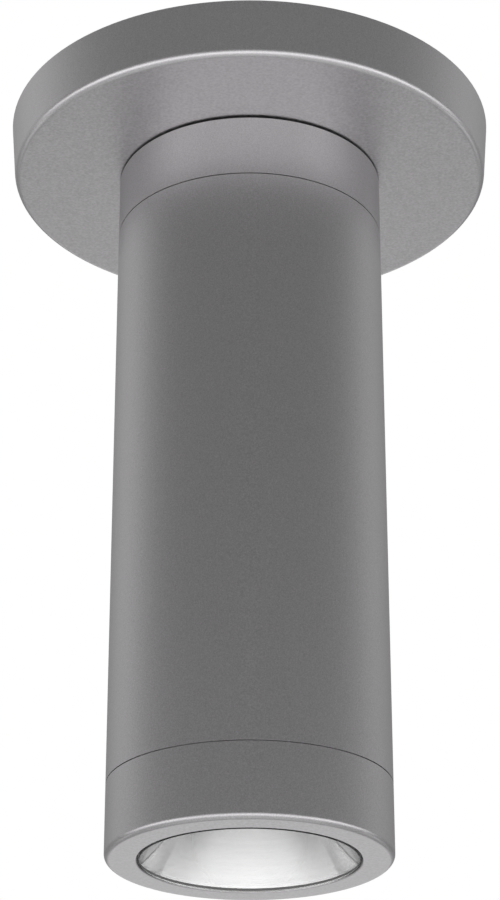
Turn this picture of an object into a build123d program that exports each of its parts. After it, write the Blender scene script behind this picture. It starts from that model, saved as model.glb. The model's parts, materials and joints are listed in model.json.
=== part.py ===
from build123d import *
import math
import os

# Ceiling-mounted cylinder downlight, in millimetres with +Z up.
# The origin is the centre of the ceiling plane, so the whole light hangs below z = 0.

# Outside of the light
body_d = 70.0            # collar, tube and bezel share this diameter
canopy_d = 129.0         # at the ceiling
canopy_h = 15.3
canopy_draft = 4.5       # degrees that the canopy's side leans in
canopy_edge_r = 1.8      # rounded lower edge of the canopy
reveal_gap = 0.5         # shadow line between canopy and collar
collar_h = 16.8
tube_len = 152.4
bezel_h = 18.8
bezel_edge_r = 1.4       # rounded outer edge of the bezel face
bezel_face_w = 7.8       # width of the flat ring round the opening
opening_edge_r = 0.3
seam_gap = 0.28          # height of the two seam lines
seam_depth = 0.8
seam_chamfer = 0.04      # broken edges of the seams

# Clearances
fit_gap = 0.05           # round fits of pieces that stay together
seat_gap = 0.1           # spigots in the tube
run_gap = 0.3            # pieces that move past each other

# Screws, as plain shanks
screw_r = 1.5
screw_head_r = 2.75
screw_head_h = 2.0
screw_edge = 0.5         # broken edge of the heads
sunk_head_r = 3.0
drive_w = 0.7            # cross recess
drive_len = 2.8
drive_depth = 0.9

# Ceiling plate and the screws that the canopy hangs from
plate_t = 2.0
plate_gap = 3.0          # plate edge to canopy wall
wire_hole_r = 16.0
box_spacing = 88.9       # screw spacing of a ceiling box
slot_len = 10.0
slot_r = 2.4
shoulder_r = 2.0
shoulder_head_r = 4.0
shoulder_head_h = 2.2
shoulder_inset = 17.0    # plate edge to shoulder screw
ground_r = 34.0
ground_angle = 25.0
ground_head_r = 3.6
ground_head_h = 1.8

# Canopy and its hanger plate
canopy_wall = 3.5
canopy_floor = 3.0
seal_w = 1.6             # ceiling gasket in the rim
seal_depth = 1.5
hanger_t = 1.5
hanger_drop = 2.5        # ceiling plate to hanger plate
hanger_w = 56.0
hanger_end_gap = 10.0    # canopy wall to the hanger's ends
hanger_corner_r = 6.0
hanger_hole_r = 17.0
hanger_screw_in_x = 6.0  # hanger edges to its screws
hanger_screw_in_y = 4.0
hanger_screw_len = 6.5
boss_r = 3.5
twist_angle = 25.0       # turn that frees the canopy

# Stem
stem_r = 5.0
stem_bore_r = 3.5
stem_proud = 1.2         # stem past each nut
nut_flats = 14.0
nut_h = 3.0
washer_r = 8.0
washer_t = 1.0
washer_split = 1.2

# Collar and body tube
reveal_inset = 4.0       # gasket edge to collar edge
collar_roof = 6.0
spigot_len = 8.0
spigot_wall = 3.0
tube_wall = 2.5
ring_w = 2.0             # width of the o-ring grooves
ring_depth = 1.5
ring_round = 0.6
port_count = 3           # screw ports along the tube
port_inset = 8.0         # tube bore to port axis
port_r = 3.3
port_web = 2.6
port_slot = 1.4
port_gap = 0.2           # collar posts to port ends
collar_screw_len = 37.0

# Driver on its bracket
bracket_t = 1.5
bracket_y = 10.0         # axis to the bracket's face
bracket_w = 30.0
bracket_space = 1.2      # bracket's foot to the collar posts
bracket_screw_x = 9.0
bracket_screw_len = 5.5
driver_top_gap = 30.0    # collar roof to driver
driver_len = 56.0
driver_depth = 22.0
driver_space = 1.7       # driver corners to the screw ports
driver_wall = 1.5
driver_tab = 8.0
driver_tab_w = 14.0
driver_screw_len = 4.5
lid_screw_r = 1.0
lid_screw_head_r = 1.9
lid_screw_head_h = 1.2
lid_screw_len = 6.0
board_t = 1.6
board_gap = 0.4          # board edge to case wall
board_lift = 3.0
transformer_w = 15.0
transformer_len = 17.0
transformer_h = 11.0
capacitor_r = 3.5
capacitor_len = 11.0
terminal_w = 18.0
terminal_depth = 10.0
terminal_h = 8.0
terminal_holes = 3
terminal_hole_r = 1.6

# Heat sink with the threaded spigot of the bezel
base_t = 8.0
cavity_h = 12.5          # tube end to the underside of the base
fin_h = 22.0
fin_t = 2.0
fin_count = 8
fin_space = 1.2          # fin tips to the screw ports
core_r = 6.0
heat_screw_len = 19.0
bezel_wall = 2.7
thread_pitch = 2.0
thread_depth = 1.0
thread_crest_w = 0.45
thread_root_w = 0.95
thread_gap = 0.25        # crests of one thread to the roots of the other
thread_bite = 0.3        # ridge sunk into its wall
thread_relief = 2.0      # plain stretch above the threads

# Light source
pad_t = 0.3
chip_w = 19.0
chip_t = 1.2
phosphor_r = 7.0
phosphor_t = 0.4
holder_t = 3.5
holder_space = 1.2       # holder edge to the heat sink screws
holder_hole_r = 8.2
holder_lip_t = 0.8
holder_lip_h = 1.2
holder_screw_in = 3.5
holder_screw_len = 8.0
lead_r = 0.7
lead_x = 1.4
lead_exit_y = -8.0       # where the leads leave the driver
lead_sink_y = -14.0      # where they pass the heat sink
lead_drop = 10.0
lead_slope = 12.0
lead_socket = 2.0

# Optics
reflector_t = 0.6
reflector_in = 0.2       # opening edge to reflector rim
reflector_bulge = 1.4    # bow of the reflector's wall
reflector_space = 0.5
lens_flange = 1.4
lens_gap = 0.3           # open ring between the bezel and the glass
lens_chamfer = 0.4
gasket_t = 0.5
bezel_floor = 1.3
face_ring_w = 1.5
face_ring_depth = 1.2

# Levels, from the ceiling down
z_canopy = -canopy_h
z_floor = z_canopy + canopy_floor
z_collar = z_canopy - reveal_gap
z_roof = z_collar - collar_roof
z_tube = z_collar - collar_h
z_spigot = z_tube - spigot_len
z_bezel = z_tube - tube_len
z_face = z_bezel - bezel_h
z_hanger = -plate_t - hanger_drop
z_hanger_low = z_hanger - hanger_t
z_driver = z_roof - driver_top_gap
z_driver_low = z_driver - driver_len
z_cavity = z_bezel + cavity_h
z_base = z_cavity + base_t
z_bezel_floor = z_face + bezel_floor
z_gasket = z_bezel_floor + gasket_t
z_lens = z_gasket + lens_flange
z_spigot_end = z_lens + run_gap
z_chip = z_cavity - pad_t
z_phosphor = z_chip - chip_t
z_holder = z_cavity - holder_t

# Radii that follow from the sizes above
body_r = body_d / 2
canopy_r = canopy_d / 2
canopy_lean = math.tan(math.radians(canopy_draft))
canopy_low_r = canopy_r + z_canopy * canopy_lean
canopy_in_r = canopy_r - canopy_wall
plate_r = canopy_in_r - plate_gap
shoulder_y = plate_r - shoulder_inset
hanger_half = canopy_in_r - hanger_end_gap
tube_in_r = body_r - tube_wall
plug_r = tube_in_r - seat_gap
port_circle = tube_in_r - port_inset
free_r = port_circle - port_r
thread_out_r = body_r - bezel_wall
thread_tip_r = thread_out_r - thread_gap
thread_root_r = thread_tip_r - thread_depth
thread_in_r = thread_root_r + thread_gap
lens_r = thread_in_r - run_gap
opening_r = body_r - bezel_face_w
rim_r = opening_r - reflector_in
cavity_r = rim_r + reflector_t + reflector_space
holder_r = port_circle - screw_head_r - holder_space
neck_r = holder_hole_r + holder_lip_t + fit_gap
glass_r = opening_r - lens_gap
foot_end = free_r - bracket_space
case_back = bracket_y
case_front = bracket_y - driver_depth
case_half = math.sqrt((free_r - driver_space) ** 2 - case_front ** 2)


def disc(radius, z_high, z_low):
    """Upright cylinder between two levels."""
    return Pos(0, 0, z_low) * extrude(Circle(radius), z_high - z_low)


def ring(r_out, r_in, z_high, z_low):
    """Upright tube between two levels."""
    return disc(r_out, z_high, z_low) - disc(r_in, z_high, z_low)


def block(x_size, y_low, y_high, z_high, z_low):
    """Box centred on x = 0."""
    size = Box(x_size, y_high - y_low, z_high - z_low)
    return Pos(0, (y_low + y_high) / 2, (z_low + z_high) / 2) * size


def turned(*points):
    """Solid turned about Z from an outline of (radius, height) points."""
    return revolve(make_face(Plane.XZ * Polyline(*points, close=True)), Axis.Z)


def edges_at(solid, radius, z):
    """Circular edges of one radius at one level."""
    rings = solid.edges().filter_by(GeomType.CIRCLE)
    return [e for e in rings if abs(e.radius - radius) < 0.01 and abs(e.center().Z - z) < 0.01]


def around(count, radius, first_angle, shape):
    """Copies of a shape on a circle, each turned with its place."""
    step = 360 / count
    return [Rot(0, 0, first_angle + i * step) * Pos(radius, 0, 0) * shape for i in range(count)]


def pan_screw(length, shank=screw_r, head=screw_head_r, head_h=screw_head_h):
    """Pan-head screw, head above z = 0 and shank below."""
    edge = min(screw_edge, shank / 2)
    body = turned((0, head_h), (head - edge, head_h), (head, head_h - edge), (head, 0), (shank, 0),
                  (shank, edge - length), (shank - edge, -length), (0, -length))
    return body - drive_cross(head_h)


def sunk_screw(length):
    """Countersunk screw, head flush with z = 0."""
    drop = sunk_head_r - screw_r
    body = turned((0, 0), (sunk_head_r, 0), (screw_r, -drop), (screw_r, screw_edge - length),
                  (screw_r - screw_edge, -length), (0, -length))
    return body - drive_cross(0)


def sunk_seat(depth):
    """Hole for a countersunk screw, mouth at z = 0."""
    mouth = sunk_head_r + fit_gap
    hole = screw_r + fit_gap
    return turned((0, 0), (mouth, 0), (hole, hole - mouth), (hole, -depth), (0, -depth))


def drive_cross(z_top):
    """Cross recess cut into a screw head."""
    bar = Box(drive_len, drive_w, drive_depth) + Box(drive_w, drive_len, drive_depth)
    return Pos(0, 0, z_top - drive_depth / 2) * bar


def o_ring(r_out, r_in, z_mid):
    """Seal ring filling a groove, with rounded corners."""
    corner = min(ring_round, (r_out - r_in) / 2 - fit_gap)
    section = RectangleRounded(r_out - r_in, ring_w - 2 * fit_gap, corner)
    return revolve(Plane.XZ * Pos((r_out + r_in) / 2, z_mid) * section, Axis.Z)


def thread_ridge(r_wall, r_tip, z_low, z_high):
    """Right-hand helical ridge standing on a wall, inward or outward."""
    bite = math.copysign(thread_bite, r_wall - r_tip)
    root = thread_root_w / 2
    crest = thread_crest_w / 2
    path = Helix(thread_pitch, z_high - z_low, r_wall, center=(0, 0, z_low))
    outline = Polyline((r_wall + bite, z_low - root), (r_tip, z_low - crest),
                       (r_tip, z_low + crest), (r_wall + bite, z_low + root), close=True)
    return sweep(make_face(Plane.XZ * outline), path, is_frenet=True)


# Ceiling side

def mounting_plate():
    plate = disc(plate_r, 0, -plate_t) - disc(wire_hole_r, 0, -plate_t)
    slot = Pos(0, 0, -plate_t) * extrude(SlotOverall(slot_len, 2 * slot_r), plate_t)
    plate -= [Pos(side * box_spacing / 2, 0, 0) * slot for side in (-1, 1)]
    plate -= around(2, shoulder_y, 90, disc(shoulder_r + fit_gap, 0, -plate_t))
    plate -= around(1, ground_r, ground_angle, disc(screw_r + fit_gap, 0, -plate_t))
    return plate


def shoulder_screws():
    z_head = z_hanger_low - run_gap
    screw = Rot(180, 0, 0) * pan_screw(-z_head, shoulder_r, shoulder_head_r, shoulder_head_h)
    return around(2, shoulder_y, 90, Pos(0, 0, z_head) * screw)


def ground_screw():
    screw = Rot(180, 0, 0) * pan_screw(plate_t, screw_r, ground_head_r, ground_head_h)
    return around(1, ground_r, ground_angle, Pos(0, 0, -plate_t) * screw)


# Canopy

def hanger_spots():
    """Centres of the screws that hold the hanger plate."""
    x = hanger_w / 2 - hanger_screw_in_x
    y = hanger_half - hanger_screw_in_y
    return [Pos(i * x, j * y, 0) for i in (-1, 1) for j in (-1, 1)]


def seal_radii():
    """Outer and inner radius of the groove in the canopy rim."""
    middle = canopy_r - canopy_wall / 2
    return middle + seal_w / 2, middle - seal_w / 2


def canopy():
    pan = turned((0, 0), (canopy_r, 0), (canopy_low_r, z_canopy), (0, z_canopy))
    pan = fillet(edges_at(pan, canopy_low_r, z_canopy), canopy_edge_r)
    pan -= turned((0, 0), (canopy_in_r, 0), (canopy_in_r + z_floor * canopy_lean, z_floor), (0, z_floor))
    groove_out, groove_in = seal_radii()
    pan -= ring(groove_out, groove_in, 0, -seal_depth)
    pan += [spot * disc(boss_r, z_hanger_low, z_floor) for spot in hanger_spots()]
    z_hole = z_hanger - hanger_screw_len - run_gap
    pan -= [spot * disc(screw_r + fit_gap, z_hanger_low, z_hole) for spot in hanger_spots()]
    return pan - disc(stem_r + fit_gap, z_floor, z_canopy)


def ceiling_gasket():
    groove_out, groove_in = seal_radii()
    return ring(groove_out - fit_gap, groove_in + fit_gap, 0, -seal_depth)


def hanger_plate():
    flat = RectangleRounded(hanger_w, 2 * hanger_half, hanger_corner_r) - Circle(hanger_hole_r)
    flat -= [spot * Circle(screw_r + fit_gap) for spot in hanger_spots()]
    for start in (90, 270):
        arc = CenterArc((0, 0), shoulder_y, start, twist_angle)
        flat -= SlotArc(arc, 2 * (shoulder_r + run_gap))
        flat -= Rot(0, 0, start + twist_angle) * Pos(shoulder_y, 0) * Circle(shoulder_head_r + run_gap)
    return Pos(0, 0, z_hanger_low) * extrude(flat, hanger_t)


def hanger_screws():
    return [spot * Pos(0, 0, z_hanger) * pan_screw(hanger_screw_len) for spot in hanger_spots()]


# Stem between canopy and collar

def stem_nipple():
    reach = washer_t + nut_h + stem_proud
    tube = ring(stem_r, stem_bore_r, z_floor + reach, z_roof - reach)
    return chamfer(edges_at(tube, stem_r, z_floor + reach) + edges_at(tube, stem_r, z_roof - reach), screw_edge)


def stem_locknuts():
    flat = RegularPolygon(nut_flats / 2, 6, major_radius=False) - Circle(stem_r + fit_gap)
    nut = extrude(flat, nut_h)
    return [Pos(0, 0, z) * nut for z in (z_floor + washer_t, z_roof - washer_t - nut_h)]


def stem_lock_washers():
    flat = Circle(washer_r) - Circle(stem_r + fit_gap)
    flat -= Pos(washer_r, 0) * Rectangle(2 * washer_r, washer_split)
    washer = extrude(flat, washer_t)
    return [Pos(0, 0, z) * washer for z in (z_floor, z_roof - washer_t)]


def reveal_gasket():
    return ring(body_r - reveal_inset, stem_r + fit_gap, z_canopy, z_collar)


# Collar and tube

def port_web_box(r_out, z_high, z_low):
    """Rib from a screw port or post out to its wall, along +X."""
    length = r_out - port_circle
    rib = Box(length, port_web, z_high - z_low)
    return Pos(port_circle + length / 2, 0, (z_high + z_low) / 2) * rib


def collar():
    z_seam = z_tube + seam_gap
    cap = disc(body_r, z_collar, z_seam) + disc(body_r - seam_depth, z_seam, z_tube)
    cap += disc(plug_r, z_tube, z_spigot)
    cap = chamfer(edges_at(cap, body_r, z_seam) + edges_at(cap, body_r, z_collar), seam_chamfer)
    cap -= disc(plug_r - spigot_wall, z_roof, z_spigot)
    cap += around(port_count, port_circle, 90, disc(port_r, z_roof, z_spigot))
    cap += around(port_count, 0, 90, port_web_box(plug_r - spigot_wall / 2, z_roof, z_tube))
    cap -= around(port_count, port_circle, 90, Pos(0, 0, z_collar) * sunk_seat(z_collar - z_spigot))
    groove = collar_groove()
    cap -= ring(plug_r, plug_r - ring_depth, groove + ring_w / 2, groove - ring_w / 2)
    foot_hole = disc(screw_r + fit_gap, z_roof + bracket_screw_len, z_roof)
    cap -= [spot * foot_hole for spot in bracket_spots()]
    return cap - disc(stem_r + fit_gap, z_collar, z_roof)


def collar_groove():
    """Middle of the o-ring groove on the collar's spigot."""
    return z_tube - spigot_len / 2


def collar_o_ring():
    return o_ring(tube_in_r - fit_gap, plug_r - ring_depth + fit_gap, collar_groove())


def collar_screws():
    return around(port_count, port_circle, 90, Pos(0, 0, z_collar) * sunk_screw(collar_screw_len))


def body_tube():
    tube = ring(body_r, tube_in_r, z_tube, z_bezel)
    tube = chamfer(edges_at(tube, body_r, z_tube) + edges_at(tube, body_r, z_bezel), seam_chamfer)
    z_top = z_spigot - port_gap
    tube += around(port_count, port_circle, 90, disc(port_r, z_top, z_base))
    tube += around(port_count, 0, 90, port_web_box(tube_in_r + tube_wall / 2, z_top, z_base))
    tube -= around(port_count, port_circle, 90, disc(screw_r + fit_gap, z_top, z_base))
    slot = Pos(-port_r / 2, 0, (z_top + z_base) / 2) * Box(port_r, port_slot, z_top - z_base)
    return tube - around(port_count, port_circle, 90, slot)


# Driver

def bracket_spots():
    """Centres of the screws through the bracket's foot."""
    y = (bracket_y + bracket_t + foot_end) / 2
    return [Pos(side * bracket_screw_x, y, 0) for side in (-1, 1)]


def tab_levels():
    """Heights of the two screws that hold the driver to its bracket."""
    return [z_driver + driver_tab / 2, z_driver_low - driver_tab / 2]


def crosswise(shape, y, z):
    """Turn a shape whose axis is Z so that its top points to -Y."""
    return Pos(0, y, z) * Rot(90, 0, 0) * shape


def driver_bracket():
    y_back = bracket_y + bracket_t
    plate = block(bracket_w, bracket_y, y_back, z_roof, z_driver_low - driver_tab)
    plate += block(bracket_w, bracket_y, foot_end, z_roof, z_roof - bracket_t)
    plate -= [spot * disc(screw_r + fit_gap, z_roof, z_roof - bracket_t) for spot in bracket_spots()]
    hole = extrude(Circle(screw_r + fit_gap), 4 * bracket_t, both=True)
    return plate - [crosswise(hole, y_back, z) for z in tab_levels()]


def bracket_screws():
    length = bracket_t + bracket_screw_len - run_gap
    screw = Pos(0, 0, z_roof - bracket_t) * Rot(180, 0, 0) * pan_screw(length)
    return [spot * screw for spot in bracket_spots()]


def lid_spots():
    """Centres of the lid's screws, in two opposite corners of the case."""
    x = case_half - driver_wall - lid_screw_head_r / 2
    z = driver_len / 2 - driver_wall - lid_screw_head_r / 2
    middle = (z_driver + z_driver_low) / 2
    return [(side * x, middle + side * z) for side in (-1, 1)]


def driver_case():
    y_lid = case_front + driver_wall
    case = block(2 * case_half, y_lid, case_back, z_driver, z_driver_low)
    case -= block(2 * (case_half - driver_wall), y_lid, case_back - driver_wall,
                  z_driver - driver_wall, z_driver_low + driver_wall)
    case += block(driver_tab_w, case_back - driver_wall, case_back, z_driver + driver_tab, z_driver)
    case += block(driver_tab_w, case_back - driver_wall, case_back, z_driver_low, z_driver_low - driver_tab)
    for x, z in lid_spots():
        post = extrude(Circle(lid_screw_head_r), case_back - driver_wall / 2 - y_lid)
        case += Pos(x, 0, 0) * crosswise(post, case_back - driver_wall / 2, z)
        hole = extrude(Circle(lid_screw_r + fit_gap), lid_screw_len)
        case -= Pos(x, 0, 0) * crosswise(hole, y_lid + lid_screw_len, z)
    for x in (-1, 1):
        for z in (-1, 1):
            spot = Pos(x * (board_half() - 2 * board_gap), 0, board_middle() + z * driver_len / 4)
            rest = extrude(Rectangle(2 * driver_wall, 2 * driver_wall), board_lift)
            case += spot * crosswise(rest, case_back - driver_wall, 0)
    tab_hole = extrude(Circle(screw_r + fit_gap), 4 * driver_wall, both=True)
    case -= [crosswise(tab_hole, case_back, z) for z in tab_levels()]
    exits = disc(lead_r + fit_gap, z_driver_low + driver_wall, z_driver_low)
    return case - [Pos(side * lead_x, lead_exit_y, 0) * exits for side in (-1, 1)]


def driver_lid():
    lid = block(2 * case_half, case_front, case_front + driver_wall, z_driver, z_driver_low)
    hole = extrude(Circle(lid_screw_r + fit_gap), 4 * driver_wall, both=True)
    return lid - [Pos(x, 0, 0) * crosswise(hole, case_front, z) for x, z in lid_spots()]


def driver_lid_screws():
    screw = pan_screw(lid_screw_len, lid_screw_r, lid_screw_head_r, lid_screw_head_h)
    return [Pos(x, 0, 0) * crosswise(screw, case_front, z) for x, z in lid_spots()]


def driver_screws():
    screw = pan_screw(driver_screw_len)
    return [crosswise(screw, case_back - driver_wall, z) for z in tab_levels()]


def board_half():
    """Half width of the driver's circuit board."""
    return case_half - driver_wall - board_gap


def board_middle():
    """Height of the middle of the driver's circuit board."""
    return (z_driver + z_driver_low) / 2


def board_face():
    """Front face of the driver's circuit board."""
    return case_back - driver_wall - board_lift - board_t


def driver_board():
    y = board_face()
    half = driver_len / 2 - driver_wall - board_gap
    board = block(2 * board_half(), y, y + board_t, board_middle() + half, board_middle() - half)
    notch = extrude(Circle(lid_screw_head_r + board_gap), 4 * board_t, both=True)
    return board - [Pos(x, 0, 0) * crosswise(notch, y, z) for x, z in lid_spots()]


def driver_transformer():
    y = board_face()
    half = transformer_len / 2
    core = block(transformer_w, y - transformer_h, y, board_middle() + half, board_middle() - half)
    return chamfer(core.edges(), screw_edge)


def driver_capacitors():
    can = extrude(Circle(capacitor_r), capacitor_len)
    can = fillet(can.edges().group_by(Axis.Z)[-1], screw_edge)
    reach = transformer_len / 2 + 2 * capacitor_r
    return [crosswise(can, board_face(), board_middle() + side * reach) for side in (-1, 1)]


def input_terminal():
    y_mid = (case_front + case_back) / 2 - driver_wall
    y_low = y_mid - terminal_depth / 2
    body = block(terminal_w, y_low, y_low + terminal_depth, z_driver + terminal_h, z_driver)
    hole = disc(terminal_hole_r, z_driver + terminal_h, z_driver + driver_wall)
    step = terminal_w / terminal_holes
    for i in range(terminal_holes):
        body -= Pos((i + 0.5) * step - terminal_w / 2, y_mid, 0) * hole
    return body


# Heat sink

def heat_groove():
    """Middle of the o-ring groove on the heat sink's plug."""
    return z_bezel + cavity_h / 2


def thread_levels():
    """Start and end of the ridges, with the bezel's half a pitch below the spigot's."""
    return z_spigot_end + thread_pitch, z_bezel - thread_relief


def heat_sink():
    plug = disc(plug_r, z_base, z_bezel + run_gap) + disc(thread_root_r, z_base, z_spigot_end)
    plug = chamfer(edges_at(plug, thread_root_r, z_spigot_end), screw_edge)
    fin_tip = free_r - fin_space
    fin = Pos(fin_tip / 2, 0, z_base + fin_h / 2) * Box(fin_tip, fin_t, fin_h)
    plug += around(fin_count, 0, 90 + 180 / fin_count, fin)
    plug += disc(core_r, z_base + fin_h, z_base)
    plug -= disc(cavity_r, z_cavity, z_spigot_end)
    low, high = thread_levels()
    plug += thread_ridge(thread_root_r, thread_tip_r, low, high)
    groove = heat_groove()
    plug -= ring(plug_r, plug_r - ring_depth, groove + ring_w / 2, groove - ring_w / 2)
    plug -= around(port_count, port_circle, 90, disc(screw_r + fit_gap, z_base, z_cavity))
    head_room = disc(screw_head_r + seat_gap, z_cavity, z_cavity - screw_head_h)
    plug -= around(port_count, port_circle, 90, head_room)
    depth = holder_screw_len - holder_t
    plug -= [spot * disc(screw_r + fit_gap, z_cavity + depth + run_gap, z_cavity) for spot in holder_spots()]
    pass_hole = disc(lead_r + seat_gap, z_base, z_cavity)
    plug -= [Pos(side * lead_x, lead_sink_y, 0) * pass_hole for side in (-1, 1)]
    return plug - ring(*face_groove(), z_spigot_end + face_ring_depth, z_spigot_end)


def face_groove():
    """Outer and inner radius of the seal groove in the spigot's end."""
    middle = (cavity_r + thread_root_r) / 2
    return middle + face_ring_w / 2, middle - face_ring_w / 2


def heat_sink_screws():
    screw = Rot(180, 0, 0) * pan_screw(heat_screw_len)
    return around(port_count, port_circle, 90, Pos(0, 0, z_cavity) * screw)


def heat_sink_o_ring():
    return o_ring(tube_in_r - fit_gap, plug_r - ring_depth + fit_gap, heat_groove())


def lens_o_ring():
    r_out, r_in = face_groove()
    seal = ring(r_out - fit_gap, r_in + fit_gap, z_spigot_end + face_ring_depth, z_spigot_end)
    return fillet(seal.edges().group_by(Axis.Z)[0], ring_round)


# Light source

def holder_spots():
    """Centres of the two screws of the holder."""
    x = holder_r - holder_screw_in
    return [Pos(side * x, 0, 0) for side in (-1, 1)]


def thermal_pad():
    return block(chip_w, -chip_w / 2, chip_w / 2, z_cavity, z_chip)


def led_board():
    return block(chip_w, -chip_w / 2, chip_w / 2, z_chip, z_phosphor)


def led_phosphor():
    return disc(phosphor_r, z_phosphor, z_phosphor - phosphor_t)


def led_holder():
    holder = disc(holder_r, z_cavity, z_holder)
    holder += disc(holder_hole_r + holder_lip_t, z_holder, z_holder - holder_lip_h)
    pocket = chip_w + 2 * seat_gap
    holder -= block(pocket, -pocket / 2, pocket / 2, z_cavity, z_phosphor)
    holder -= disc(holder_hole_r, z_cavity, z_holder - holder_lip_h)
    seat = Rot(180, 0, 0) * sunk_seat(holder_t)
    holder -= [spot * Pos(0, 0, z_holder) * seat for spot in holder_spots()]
    socket = disc(lead_r + fit_gap, z_cavity, z_cavity - lead_socket)
    return holder - [Pos(side * lead_x, lead_sink_y, 0) * socket for side in (-1, 1)]


def led_holder_screws():
    screw = Pos(0, 0, z_holder) * Rot(180, 0, 0) * sunk_screw(holder_screw_len)
    return [spot * screw for spot in holder_spots()]


def led_lead(side):
    """Insulated wire from the driver, past the fins and into the holder."""
    x = side * lead_x
    z_bend = z_driver_low - lead_drop
    points = [(x, lead_exit_y, z_driver_low + driver_wall), (x, lead_exit_y, z_bend),
              (x, lead_sink_y, z_bend - lead_slope), (x, lead_sink_y, z_cavity - lead_socket)]
    turn = math.atan2(abs(lead_sink_y - lead_exit_y), lead_slope)
    radius = 0.45 * (lead_drop + driver_wall) / math.tan(turn / 2)
    print(f"lead bend radius {radius:.1f} mm")
    path = FilletPolyline(*points, radius=radius)
    return sweep(Plane(points[0], z_dir=(0, 0, -1)) * Circle(lead_r), path)


def led_lead_red():
    return led_lead(-1)


def led_lead_black():
    return led_lead(1)


# Optics and bezel

def reflector():
    neck = Vector(neck_r, z_holder)
    rim = Vector(rim_r, z_lens + run_gap)
    outward = Vector(neck.Y - rim.Y, rim.X - neck.X).normalized()
    bow = (neck + rim) / 2 + outward * reflector_bulge
    inner = ThreePointArc(neck, bow, rim)
    outer = Pos(reflector_t, 0) * inner
    outline = inner + outer + Line(inner @ 0, outer @ 0) + Line(inner @ 1, outer @ 1)
    return revolve(Plane.XZ * make_face(outline), Axis.Z)


def lens():
    glass = disc(lens_r, z_lens, z_gasket) + disc(glass_r, z_gasket, z_face)
    glass = chamfer(edges_at(glass, glass_r, z_face), lens_chamfer)
    return chamfer(edges_at(glass, lens_r, z_lens), lens_chamfer)


def lens_gasket():
    return ring(lens_r, glass_r + fit_gap, z_gasket, z_bezel_floor)


def bezel():
    z_seam = z_bezel - seam_gap
    shell = disc(body_r, z_seam, z_face) + disc(body_r - seam_depth, z_bezel, z_seam)
    shell = fillet(edges_at(shell, body_r, z_face), bezel_edge_r)
    shell = chamfer(edges_at(shell, body_r, z_seam), seam_chamfer)
    shell -= disc(opening_r, z_bezel_floor, z_face)
    shell = fillet(edges_at(shell, opening_r, z_face), opening_edge_r)
    shell -= disc(thread_in_r, z_bezel, z_bezel_floor)
    shell -= disc(thread_out_r, z_bezel, z_spigot_end - 2 * run_gap)
    low, high = thread_levels()
    half = thread_pitch / 2
    return shell + thread_ridge(thread_out_r, thread_in_r, low + half, high + half)


nodes = [
    mounting_plate, shoulder_screws, ground_screw,
    canopy, ceiling_gasket, hanger_plate, hanger_screws,
    stem_nipple, stem_locknuts, stem_lock_washers, reveal_gasket,
    collar, collar_o_ring, collar_screws, body_tube,
    driver_bracket, bracket_screws, driver_case, driver_lid, driver_lid_screws, driver_screws,
    driver_board, driver_transformer, driver_capacitors, input_terminal,
    heat_sink, heat_sink_screws, heat_sink_o_ring, lens_o_ring,
    thermal_pad, led_board, led_phosphor, led_holder, led_holder_screws,
    led_lead_red, led_lead_black,
    reflector, lens, lens_gasket, bezel,
]

os.makedirs("parts", exist_ok=True)
for node in nodes:
    made = node()
    solids = made if isinstance(made, list) else [made]
    pieces = [solid for shape in solids for solid in shape.solids()]
    export_step(pieces[0] if len(pieces) == 1 else Compound(pieces), f"parts/{node.__name__}.step")
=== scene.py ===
# Cylinder downlight: finishes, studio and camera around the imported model
import json
import math

import bpy
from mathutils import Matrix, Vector


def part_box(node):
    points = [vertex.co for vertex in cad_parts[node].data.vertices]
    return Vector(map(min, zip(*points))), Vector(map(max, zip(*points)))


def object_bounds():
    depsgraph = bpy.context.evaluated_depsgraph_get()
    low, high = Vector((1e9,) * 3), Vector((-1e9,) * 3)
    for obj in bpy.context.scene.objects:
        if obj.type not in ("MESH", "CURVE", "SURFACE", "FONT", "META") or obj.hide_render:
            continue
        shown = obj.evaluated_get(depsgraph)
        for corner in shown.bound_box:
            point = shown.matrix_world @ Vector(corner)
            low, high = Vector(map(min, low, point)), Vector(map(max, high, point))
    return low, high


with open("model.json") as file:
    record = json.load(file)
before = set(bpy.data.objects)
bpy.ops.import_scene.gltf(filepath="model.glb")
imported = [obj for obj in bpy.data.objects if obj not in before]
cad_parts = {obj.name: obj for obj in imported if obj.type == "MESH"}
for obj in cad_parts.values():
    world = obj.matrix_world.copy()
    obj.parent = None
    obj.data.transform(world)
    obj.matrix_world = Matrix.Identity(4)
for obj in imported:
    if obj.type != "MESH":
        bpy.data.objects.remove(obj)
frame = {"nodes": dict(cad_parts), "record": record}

mm = 0.001
cad_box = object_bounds()
nodes = frame["nodes"]
middle = Vector((0, 0, (cad_box[0][2] + cad_box[1][2]) / 2))

# Camera, fitted to the outline, the seams and the opening
photo_height_px = 900
focal_px = 2620.2
sensor = 36.0
camera_place = Vector((0.00012, -0.6105, -0.38427))
camera_pitch = math.radians(25.398)

# Painted skin, turned round the Z axis
canopy_draft = math.radians(4.5)      # how far the canopy's side leans in
canopy_edge_r = 1.8 * mm              # rounded lower edge of the canopy
bezel_edge_r = 1.4 * mm               # rounded outer edge of the bezel's face
canopy_low, canopy_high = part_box("canopy")
canopy_r = canopy_high[0]             # at the ceiling
canopy_end = canopy_low[2] - 0.01 * mm    # just below the canopy
body_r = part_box("body_tube")[1][0]
bezel_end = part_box("bezel")[0][2]
skin_gap = 0.03 * mm                  # how far the mesh may lie inside the true skin

# Studio: each soft patch of light by azimuth, elevation, sharpness and level, where level 1 is white
ambient_level = 0.24
left_wall = (-120, 25, 9, 0.41)
right_wall = (120, 25, 9, 0.31)
low_left_wall = (-128, -45, 32, 2.4)
low_right_wall = (128, -45, 32, 2.4)
backdrop = (180, -12, 30, 1.12)

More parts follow.
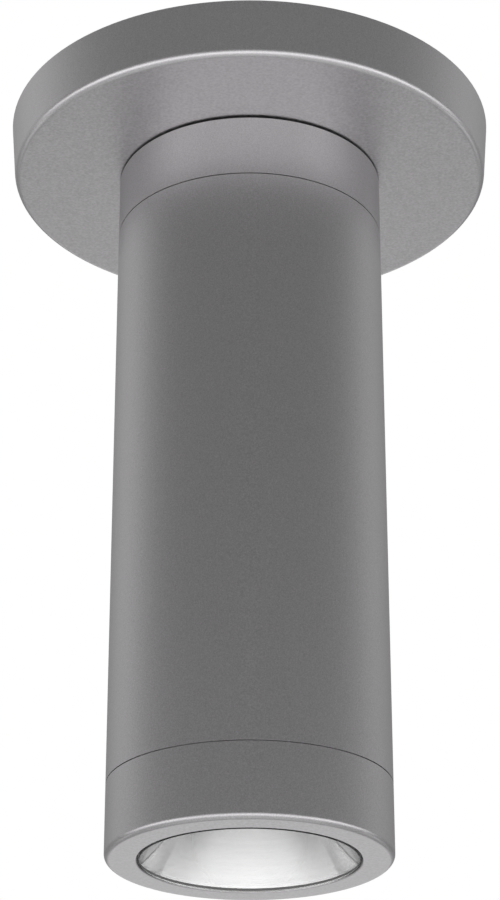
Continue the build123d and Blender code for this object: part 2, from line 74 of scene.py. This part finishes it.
# Flag in front of the backdrop, by a ray's coordinates: each soft edge from its start to its end
flag_level = 0.6                      # how much it takes away
flag_height = math.sin(math.radians(-16.5))
flag_sides = (0.055, 0.08)            # to the left and right of the middle
flag_ends = (0.02, 0.04)              # above and below its height

# Lamps: aims in degrees, and each fade from its start to its end, by the sine or cosine of an angle
lamp_distance = 1.3
front_lamp_level = 1.5
front_lamp_size = (3.8, 1.9)
front_lamp_tilt = -36
side_lamp_level = 1.75
side_lamp_size = (2.2, 1.3)
side_lamp_turn = 76
side_lamp_tilt = -30
lean_tilt = 64                        # all of them grow brighter towards this tilt in front
lean_fade = (-0.57, -0.2)             # by the angle to it
front_top_fade = (-0.5, -0.05)        # by height
side_top_fade = (-0.29, 0.0)
handover = (0.5, 0.77)                # by the turn from the front, from the side lamps to the front lamp
side_end_fade = (-0.33, -0.28)        # by the same turn, behind

# Floor
floor_drop = 2.4                      # ceiling to floor
floor_r = 3.2
floor_colour = (0.85, 0.85, 0.85, 1)
floor_roughness = 0.9
floor_white = 0.75                    # share of plain white in the floor as the camera sees it
floor_gleam = 0.6                     # the same as metal and glass see it, below the light
floor_fade_start = 0.3 * floor_r
floor_fade_end = 0.95 * floor_r

# Noise lies mostly between these two values
noise_low = 0.3
noise_high = 0.7


# Shader helpers

def new_material(name, metallic=0.0):
    """An empty node material: the material, its tree and its main shader."""
    material = bpy.data.materials.new(name)
    material.use_nodes = True
    shader = material.node_tree.nodes["Principled BSDF"]
    shader.inputs["Metallic"].default_value = metallic
    return material, material.node_tree, shader


def feed(tree, socket, value):
    """Sets a socket to a plain value, or links another node's output to it."""
    if isinstance(value, bpy.types.NodeSocket):
        tree.links.new(value, socket)
    else:
        socket.default_value = value


def math_node(tree, operation, *values):
    """An operation on one or two values, or on more of them in turn."""
    node = tree.nodes.new("ShaderNodeMath")
    node.operation = operation
    for socket, value in zip(node.inputs, values[:2]):
        feed(tree, socket, value)
    result, others = node.outputs[0], values[2:]
    return math_node(tree, operation, result, *others) if others else result


def vector_node(tree, operation, *vectors):
    """An operation on one or two vectors."""
    node = tree.nodes.new("ShaderNodeVectorMath")
    node.operation = operation
    for socket, vector in zip(node.inputs, vectors):
        feed(tree, socket, vector)
    return node.outputs["Value" if operation == "DOT_PRODUCT" else "Vector"]


def axes(tree, vector):
    """The three coordinates of a vector."""
    split = tree.nodes.new("ShaderNodeSeparateXYZ")
    tree.links.new(vector, split.inputs[0])
    return split.outputs


def join(tree, *coordinates):
    """The vector of three coordinates."""
    node = tree.nodes.new("ShaderNodeCombineXYZ")
    for socket, value in zip(node.inputs, coordinates):
        feed(tree, socket, value)
    return node.outputs[0]


def place(tree):
    """Places in the part's own frame, in metres."""
    return tree.nodes.new("ShaderNodeTexCoord").outputs["Object"]


def radius(tree):
    """Distance from the light's axis."""
    x, y, _ = axes(tree, place(tree))
    return math_node(tree, "SQRT", math_node(tree, "ADD", math_node(tree, "MULTIPLY", x, x),
                                             math_node(tree, "MULTIPLY", y, y)))


def levelness(tree):
    """How level the surface lies: 1 on level faces, 0 on upright walls."""
    facing = tree.nodes.new("ShaderNodeNewGeometry").outputs["True Normal"]
    return math_node(tree, "ABSOLUTE", axes(tree, facing)[2])


def noise(tree, grain, detail=2.0):
    """Noise whose blotches are about grain metres across."""
    node = tree.nodes.new("ShaderNodeTexNoise")
    tree.links.new(place(tree), node.inputs["Vector"])
    node.inputs["Scale"].default_value = 1 / grain
    node.inputs["Detail"].default_value = detail
    return node.outputs["Fac"]


def lines(tree, along, pitch):
    """Noise that changes along one coordinate only, as fine tool marks do."""
    node = tree.nodes.new("ShaderNodeTexNoise")
    node.noise_dimensions = "1D"
    tree.links.new(along, node.inputs["W"])
    node.inputs["Scale"].default_value = 1 / pitch
    node.inputs["Detail"].default_value = 2.0
    return node.outputs["Fac"]


def between(tree, source, first, last, start=noise_low, end=noise_high):
    """Goes from first to last as source goes from start to end."""
    node = tree.nodes.new("ShaderNodeMapRange")
    feed(tree, node.inputs["Value"], source)
    node.inputs["From Min"].default_value = start
    node.inputs["From Max"].default_value = end
    node.inputs["To Min"].default_value = first
    node.inputs["To Max"].default_value = last
    return node.outputs["Result"]


def blend(tree, source, first, last, start=noise_low, end=noise_high):
    """Blends two colours as source goes from start to end."""
    node = tree.nodes.new("ShaderNodeMix")
    node.data_type = "RGBA"
    feed(tree, node.inputs["Factor"], between(tree, source, 0, 1, start, end))
    for socket, colour in (("A", first), ("B", last)):
        linked = isinstance(colour, bpy.types.NodeSocket)
        feed(tree, node.inputs[socket], colour if linked else (*colour, 1))
    return node.outputs["Result"]


def shade(colour, factor):
    return tuple(min(1.0, value * factor) for value in colour)


def tinted(tree, source, colour, dark, light):
    """A colour from dark times itself to light times itself, as the noise in source rises."""
    return blend(tree, source, shade(colour, dark), shade(colour, light))


def coat(tree, shader, colour, roughness):
    feed(tree, shader.inputs["Base Color"], colour)
    feed(tree, shader.inputs["Roughness"], roughness)


def bump(tree, shader, height, depth, normal=None):
    """Raises the surface by depth metres where height is 1."""
    node = tree.nodes.new("ShaderNodeBump")
    node.inputs["Distance"].default_value = depth
    feed(tree, node.inputs["Height"], height)
    if normal:
        tree.links.new(normal, node.inputs["Normal"])
    tree.links.new(node.outputs["Normal"], shader.inputs["Normal"])


def mix_shaders(tree, share, shader, other):
    """Puts other in the place of shader by that share."""
    mix = tree.nodes.new("ShaderNodeMixShader")
    feed(tree, mix.inputs["Fac"], share)
    tree.links.new(shader.outputs[0], mix.inputs[1])
    tree.links.new(other.outputs[0], mix.inputs[2])
    tree.links.new(mix.outputs[0], tree.nodes["Material Output"].inputs["Surface"])


# True normals of the painted skin

def edge_ring(wall_r, low, edge_r, draft):
    """Radius and height of the ring that a rounded edge turns round, and the height where the edge ends."""
    ring_z = low + edge_r
    ring_r = wall_r + ring_z * math.tan(draft) - edge_r / math.cos(draft)
    return ring_r, ring_z, ring_z - edge_r * math.sin(draft)


def normal_where(tree, tests, normal, other):
    """normal, at unit length, where every test is 1, and other elsewhere."""
    node = tree.nodes.new("ShaderNodeMix")
    node.data_type = "VECTOR"
    feed(tree, node.inputs["Factor"], math_node(tree, "MULTIPLY", *tests))
    feed(tree, node.inputs["A"], other)
    feed(tree, node.inputs["B"], vector_node(tree, "NORMALIZE", normal))
    return node.outputs["Result"]


def turned_normal(tree):
    """Normal of the turned skin, since the mesh's own strays by some degrees beside the rounded edges."""
    spot = tree.nodes.new("ShaderNodeTexCoord").outputs
    x, y, z = axes(tree, spot["Object"])
    r = radius(tree)
    normal = spot["Normal"]
    canopy_edge = edge_ring(canopy_r, canopy_low[2], canopy_edge_r, canopy_draft)
    bezel_edge = edge_ring(body_r, bezel_end, bezel_edge_r, 0)
    for ring_r, ring_z, edge_end in (canopy_edge, bezel_edge):
        share = math_node(tree, "DIVIDE", math_node(tree, "SUBTRACT", r, ring_r), r)
        from_ring = join(tree, math_node(tree, "MULTIPLY", x, share), math_node(tree, "MULTIPLY", y, share),
                         math_node(tree, "SUBTRACT", z, ring_z))
        tests = [math_node(tree, "GREATER_THAN", r, ring_r), math_node(tree, "LESS_THAN", z, edge_end)]
        normal = normal_where(tree, tests, from_ring, normal)
    out = vector_node(tree, "NORMALIZE", join(tree, x, y, 0.0))
    tests = [math_node(tree, "GREATER_THAN", r, body_r - skin_gap),
             math_node(tree, "LESS_THAN", z, canopy_end), math_node(tree, "GREATER_THAN", z, bezel_edge[2])]
    normal = normal_where(tree, tests, out, normal)
    lean = math.tan(canopy_draft)
    cone = vector_node(tree, "ADD", out, (0, 0, -lean))
    reach = math_node(tree, "SUBTRACT", r, math_node(tree, "MULTIPLY", z, lean))
    tests = [math_node(tree, "GREATER_THAN", reach, canopy_r - skin_gap),
             math_node(tree, "GREATER_THAN", z, canopy_edge[2]), math_node(tree, "LESS_THAN", z, -skin_gap)]
    normal = normal_where(tree, tests, cone, normal)
    turn = tree.nodes.new("ShaderNodeVectorTransform")
    turn.vector_type = "NORMAL"
    turn.convert_from = "OBJECT"
    turn.convert_to = "WORLD"
    tree.links.new(normal, turn.inputs[0])
    return turn.outputs[0]


# Finishes: each takes the slot's colour from the record

def painted_aluminium(name, colour):
    """Metallic paint, coarser on level faces, with the canopy painted lighter as painted light."""
    material, tree, shader = new_material(name, metallic=1.0)
    fine = noise(tree, 0.3 * mm)
    coarse = noise(tree, 0.65 * mm)
    level = math_node(tree, "GREATER_THAN", levelness(tree), 0.99)
    change = math_node(tree, "MULTIPLY", level, math_node(tree, "SUBTRACT", coarse, fine))
    grain = math_node(tree, "ADD", fine, change)
    body = tinted(tree, grain, colour, dark=0.86, light=1.14)
    # Painted light: a lighter copy of the paint, for the light the canopy's side and underside catch
    canopy = tinted(tree, grain, colour, dark=0.97, light=1.23)
    height = axes(tree, place(tree))[2]
    # Painted light: everything above canopy_end, that is the canopy, takes the lighter copy
    coat(tree, shader, blend(tree, height, body, canopy, canopy_end - skin_gap, canopy_end),
         between(tree, grain, 0.32, 0.40))
    bump(tree, shader, grain, 0.004 * mm, turned_normal(tree))
    return material


def plated_steel(name, colour):
    """Zinc plate with faint clouds and a rolled grain."""
    material, tree, shader = new_material(name, metallic=1.0)
    cloud = noise(tree, 2.5 * mm, detail=4)
    grain = noise(tree, 0.2 * mm)
    coat(tree, shader, tinted(tree, cloud, colour, dark=0.88, light=1.06), between(tree, cloud, 0.24, 0.40))
    bump(tree, shader, grain, 0.004 * mm)
    return material


def turned_aluminium(name, colour):
    """Machined aluminium with tool rings round the axis."""
    material, tree, shader = new_material(name, metallic=1.0)
    height = axes(tree, place(tree))[2]
    rings = lines(tree, math_node(tree, "ADD", radius(tree), height), 0.25 * mm)
    coat(tree, shader, tinted(tree, rings, colour, dark=0.9, light=1.05), between(tree, rings, 0.26, 0.38))
    bump(tree, shader, rings, 0.006 * mm)
    return material


def mirror_aluminium(name, colour):
    """Spun and polished, with very faint rings left in it."""
    material, tree, shader = new_material(name, metallic=1.0)
    rings = lines(tree, radius(tree), 0.5 * mm)
    coat(tree, shader, tinted(tree, rings, colour, dark=0.98, light=1.01), between(tree, rings, 0.05, 0.08))
    return material


def clear_glass(name, colour):
    """Clear faces with the faintest haze, and satin edges wherever the surface isn't level."""
    material, tree, shader = new_material(name)
    clear = [max(colour)] * 3     # without a tint
    satin = between(tree, levelness(tree), 0.25, 0, 0.90, 0.95)
    haze = noise(tree, 4 * mm, detail=4)
    coat(tree, shader, tinted(tree, haze, clear, dark=0.99, light=1.02),
         math_node(tree, "ADD", satin, between(tree, haze, 0.0, 0.015)))
    shader.inputs["Transmission Weight"].default_value = 1.0
    shader.inputs["IOR"].default_value = 1.46
    shadow = tree.nodes.new("ShaderNodeLightPath").outputs["Is Shadow Ray"]
    mix_shaders(tree, shadow, shader, tree.nodes.new("ShaderNodeBsdfTransparent"))
    return material


def moulded(name, colour):
    """Moulded plastic, rubber, ceramic or insulation with a fine skin."""
    material, tree, shader = new_material(name)
    skin = noise(tree, 0.4 * mm)
    cloud = noise(tree, 6 * mm, detail=3)
    coat(tree, shader, tinted(tree, cloud, colour, dark=0.88, light=1.08), between(tree, skin, 0.43, 0.57))
    bump(tree, shader, skin, 0.01 * mm)
    return material


def circuit_board(name, colour):
    """Solder mask over a net of copper tracks."""
    material, tree, shader = new_material(name)
    net = tree.nodes.new("ShaderNodeTexVoronoi")
    net.distance = "CHEBYCHEV"
    net.feature = "F2"
    net.inputs["Scale"].default_value = 1 / (4 * mm)
    tree.links.new(place(tree), net.inputs["Vector"])
    step = math_node(tree, "PINGPONG", net.outputs["Distance"], 0.2)
    track_edge = (0.06, 0.08)
    coat(tree, shader, blend(tree, step, shade(colour, 1.5), colour, *track_edge),
         between(tree, noise(tree, 1 * mm), 0.3, 0.45))
    bump(tree, shader, between(tree, step, 1, 0, *track_edge), 0.03 * mm)
    return material


def wound_tape(name, colour):
    """Layers of tape round the transformer."""
    material, tree, shader = new_material(name)
    height = axes(tree, place(tree))[2]
    layers = math_node(tree, "PINGPONG", height, 2.2 * mm)
    coat(tree, shader, blend(tree, layers, shade(colour, 0.7), colour, 0, 0.3 * mm),
         between(tree, noise(tree, 1.5 * mm), 0.3, 0.45))
    bump(tree, shader, between(tree, layers, 0, 1, 0, 0.2 * mm), 0.05 * mm)
    return material


def shrink_sleeve(name, colour):
    """Sleeve of a capacitor with its pale stripe."""
    material, tree, shader = new_material(name)
    stripe = (0.6, 0.62, 0.64)
    x = axes(tree, place(tree))[0]
    skin = noise(tree, 1.5 * mm, detail=3)
    sleeve = tinted(tree, skin, colour, dark=0.8, light=1.2)
    coat(tree, shader, blend(tree, x, sleeve, stripe, 2.6 * mm, 2.7 * mm), between(tree, skin, 0.2, 0.32))
    return material


def phosphor(name, colour):
    """Silicone filled with phosphor, over faint rows of dies."""
    material, tree, shader = new_material(name)
    die = 0.8 * mm
    x, y, _ = axes(tree, place(tree))
    rows = math_node(tree, "MULTIPLY", math_node(tree, "PINGPONG", x, die),
                     math_node(tree, "PINGPONG", y, die))
    coat(tree, shader, blend(tree, rows, shade(colour, 0.8), colour, 0, 0.25 * mm * mm),
         between(tree, noise(tree, 0.3 * mm), 0.35, 0.5))
    return material


# Every other slot is moulded
makers = {
    "painted_aluminium": painted_aluminium, "zinc_steel": plated_steel, "green_steel": plated_steel,
    "bare_aluminium": turned_aluminium, "mirror_aluminium": mirror_aluminium, "clear_glass": clear_glass,
    "circuit_board": circuit_board, "transformer_tape": wound_tape, "capacitor_sleeve": shrink_sleeve,
    "led_yellow": phosphor,
}


def dress():
    """Gives every node the finish of its slot."""
    made = {}
    for look in frame["record"]["materials"]:
        slot = look["slot"]
        made[slot] = makers.get(slot, moulded)(f"{slot}_finish", tuple(look["base_color"][:3]))
    for part in frame["record"]["subparts"]:
        mesh = nodes[part["node"]].data
        mesh.materials.clear()
        mesh.materials.append(made[part["material_slot"]])


# Studio

def direction(azimuth, elevation):
    """Unit vector from the light; azimuth 0 is the photographer's side."""
    a, e = math.radians(azimuth), math.radians(elevation)
    return Vector((math.sin(a) * math.cos(e), -math.cos(a) * math.cos(e), math.sin(e)))


def glow(tree, ray, azimuth, elevation, sharpness, level):
    """Soft round patch of light, as bright as level in its middle."""
    nearness = vector_node(tree, "DOT_PRODUCT", ray, direction(azimuth, elevation))
    away = math_node(tree, "SUBTRACT", nearness, 1.0)
    fall = math_node(tree, "EXPONENT", math_node(tree, "MULTIPLY", away, sharpness))
    return math_node(tree, "MULTIPLY", fall, level)


def flag(tree, ray):
    """What a narrow flag in front of the backdrop lets through, so that the glass has less glare."""
    x, y, z = axes(tree, ray)
    wide = between(tree, math_node(tree, "ABSOLUTE", x), 1, 0, *flag_sides)
    rise = math_node(tree, "ABSOLUTE", math_node(tree, "SUBTRACT", z, flag_height))
    high = between(tree, rise, 1, 0, *flag_ends)
    behind = math_node(tree, "GREATER_THAN", y, 0.0)
    return math_node(tree, "SUBTRACT", 1.0, math_node(tree, "MULTIPLY", wide, high, behind, flag_level))


def build_world():
    """A dim room with a white backdrop, two soft light walls on each side of it and a flag against glare."""
    world = bpy.data.worlds.new("studio")
    bpy.context.scene.world = world
    world.use_nodes = True
    tree = world.node_tree
    background = tree.nodes["Background"]
    background.inputs["Color"].default_value = (1, 1, 1, 1)
    ray = tree.nodes.new("ShaderNodeTexCoord").outputs["Generated"]
    patches = (left_wall, right_wall, low_left_wall, low_right_wall, backdrop)
    room = math_node(tree, "ADD", ambient_level, *[glow(tree, ray, *patch) for patch in patches])
    studio = math_node(tree, "MULTIPLY", room, flag(tree, ray))
    seen = tree.nodes.new("ShaderNodeLightPath").outputs["Is Camera Ray"]
    feed(tree, background.inputs["Strength"], math_node(tree, "MAXIMUM", studio, seen))


def softbox(name, aim, size, level, fade):
    """Rectangular lamp facing the light, as bright as level where its fade is 1."""
    data = bpy.data.lights.new(name, "AREA")
    data.shape = "RECTANGLE"
    data.size, data.size_y = size
    data.energy = math.pi * size[0] * size[1] * level
    data.use_nodes = True
    feed(data.node_tree, data.node_tree.nodes["Emission"].inputs["Strength"], fade(data.node_tree))
    lamp = bpy.data.objects.new(name, data)
    bpy.context.scene.collection.objects.link(lamp)
    lamp.location = middle + aim * lamp_distance
    lamp.rotation_euler = (-aim).to_track_quat("-Z", "Y").to_euler()
    lamp.visible_camera = False


def lamp_spot(tree):
    """Where a spot of a lamp stands, seen from the light: its direction, its height and how far in front."""
    position = tree.nodes.new("ShaderNodeNewGeometry").outputs["Position"]
    toward = vector_node(tree, "NORMALIZE", vector_node(tree, "SUBTRACT", position, middle))
    _, y, z = axes(tree, toward)
    level = math_node(tree, "SQRT", math_node(tree, "SUBTRACT", 1.0, math_node(tree, "MULTIPLY", z, z)))
    return toward, z, math_node(tree, "DIVIDE", math_node(tree, "MULTIPLY", y, -1.0), level)


def lamp_fade(tree, toward, height, top_fade):
    """Brighter towards the upper front, and faded out at the top."""
    nearness = vector_node(tree, "DOT_PRODUCT", toward, direction(0, lean_tilt))
    lean = between(tree, nearness, 0, 1, *lean_fade)
    return math_node(tree, "MULTIPLY", lean, between(tree, height, 1, 0, *top_fade))


def front_fade(tree):
    """Fades out towards the sides."""
    toward, height, ahead = lamp_spot(tree)
    ends = between(tree, ahead, 0, 1, *handover)
    return math_node(tree, "MULTIPLY", ends, lamp_fade(tree, toward, height, front_top_fade))


def side_fade(tree):
    """Takes over where the front lamp fades out, and ends sharply behind."""
    toward, height, ahead = lamp_spot(tree)
    front_end = between(tree, ahead, 1, 0, *handover)
    back_end = between(tree, ahead, 0, 1, *side_end_fade)
    return math_node(tree, "MULTIPLY", front_end, back_end, lamp_fade(tree, toward, height, side_top_fade))


def build_lamps():
    """A large soft lamp below the camera that goes over into one on each side."""
    softbox("front_box", direction(0, front_lamp_tilt), front_lamp_size, front_lamp_level, front_fade)
    for name, side in (("left_box", -1), ("right_box", 1)):
        aim = direction(side * side_lamp_turn, side_lamp_tilt)
        softbox(name, aim, side_lamp_size, side_lamp_level, side_fade)


def build_floor():
    """Pale disc far below, close to white for the camera, that goes over into the white background."""
    bpy.ops.mesh.primitive_circle_add(vertices=128, radius=floor_r, fill_type="NGON",
                                      location=(0, 0, -floor_drop))
    floor = bpy.context.object
    floor.name = "floor"
    material, tree, shader = new_material("pale_floor")
    coat(tree, shader, floor_colour, floor_roughness)
    path = tree.nodes.new("ShaderNodeLightPath").outputs
    mirrored = math_node(tree, "MAXIMUM", path["Is Glossy Ray"], path["Is Transmission Ray"])
    gleam = math_node(tree, "MULTIPLY", mirrored,
                      between(tree, radius(tree), floor_gleam, 0, floor_fade_start, floor_r))
    seen = math_node(tree, "MULTIPLY", path["Is Camera Ray"],
                     between(tree, radius(tree), floor_white, 1, floor_fade_start, floor_fade_end))
    white = tree.nodes.new("ShaderNodeEmission")
    mix_shaders(tree, math_node(tree, "MAXIMUM", seen, gleam), shader, white)
    floor.data.materials.append(material)


def build_camera():
    camera = bpy.data.objects.new("camera", bpy.data.cameras.new("camera"))
    bpy.context.scene.collection.objects.link(camera)
    camera.data.sensor_width = sensor
    camera.data.lens = focal_px * sensor / photo_height_px
    camera.location = camera_place
    camera.rotation_euler = (math.pi / 2 + camera_pitch, 0, 0)
    bpy.context.scene.camera = camera


bpy.context.scene.view_settings.view_transform = "Standard"
dress()
build_world()
build_lamps()
build_floor()
build_camera()
